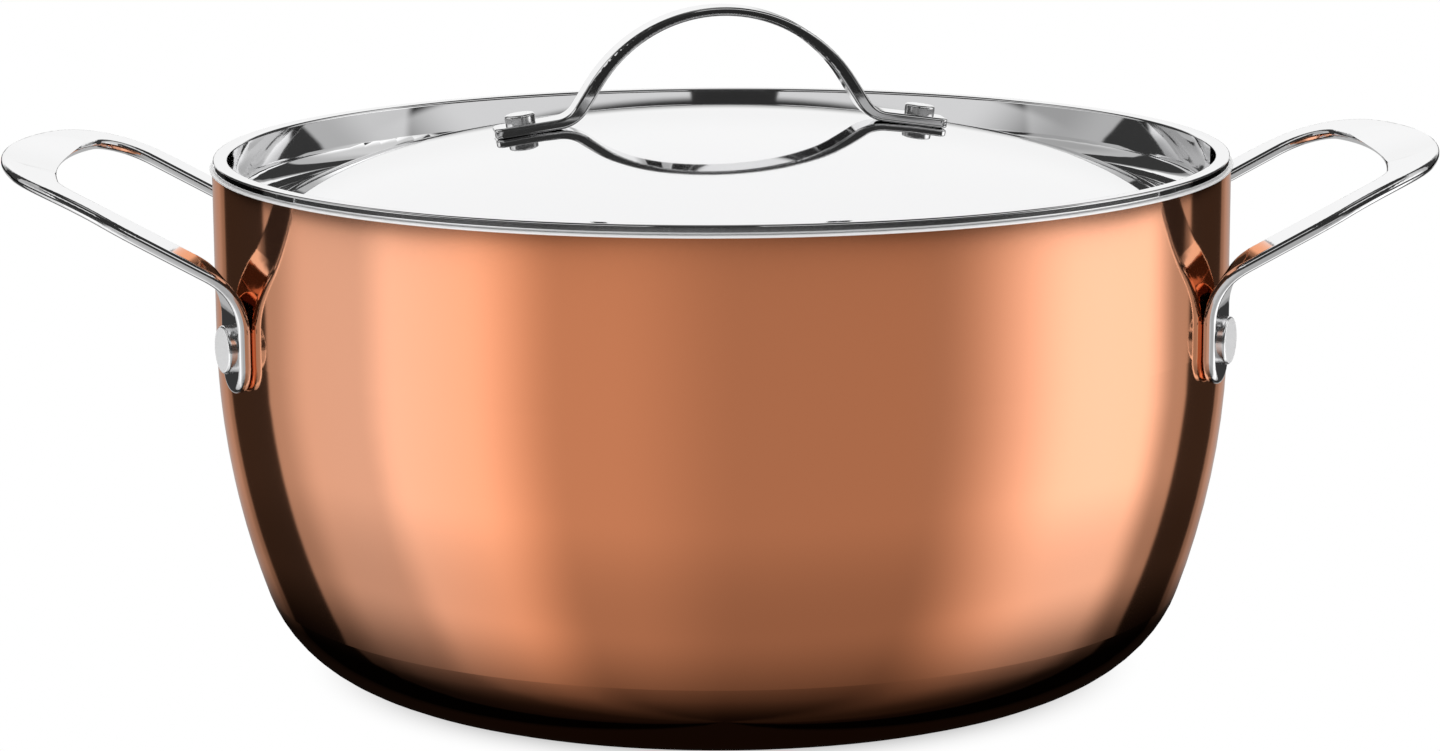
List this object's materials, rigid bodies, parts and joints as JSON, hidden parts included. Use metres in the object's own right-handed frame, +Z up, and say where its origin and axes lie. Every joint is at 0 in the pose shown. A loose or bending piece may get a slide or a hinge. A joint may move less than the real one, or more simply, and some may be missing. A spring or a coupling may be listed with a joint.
{
  "type": "lidded copper pan",
  "caption": "Round straight-sided copper pan with a steel lining, two looped side handles riveted on, and a drop-in domed lid with a strap handle.",
  "frame": {"origin": "centre of the pan's flat base, on the surface that it stands on", "axes": "+Z up, +X through the two side handles towards the right-hand one, -Y to the front"},
  "size_m": [0.345, 0.246, 0.1607],
  "materials": {
    "copper": "mirror-polished copper",
    "aluminium": "plain, sealed between the copper and the steel",
    "steel_lining": "fine satin inside, polished lip",
    "polished_steel": "mirror-polished stainless steel",
    "lid_steel": "mirror-polished stainless steel",
    "rivet_steel": "polished stainless steel"
  },
  "bodies": {
    "pan": {"copper_shell": "copper", "aluminium_core": "aluminium", "steel_liner": "steel_lining", "left_handle": "polished_steel", "right_handle": "polished_steel", "left_front_rivet": "rivet_steel", "left_rear_rivet": "rivet_steel", "right_front_rivet": "rivet_steel", "right_rear_rivet": "rivet_steel"},
    "lid": {"lid": "lid_steel", "lid_handle": "polished_steel", "lid_left_rivet": "rivet_steel", "lid_right_rivet": "rivet_steel"}
  },
  "joints": [
    {"name": "lid_lift", "type": "slide", "parent": "pan", "child": "lid", "axis": [0, 0, 1], "range_m": [0, 0.1]}
  ]
}
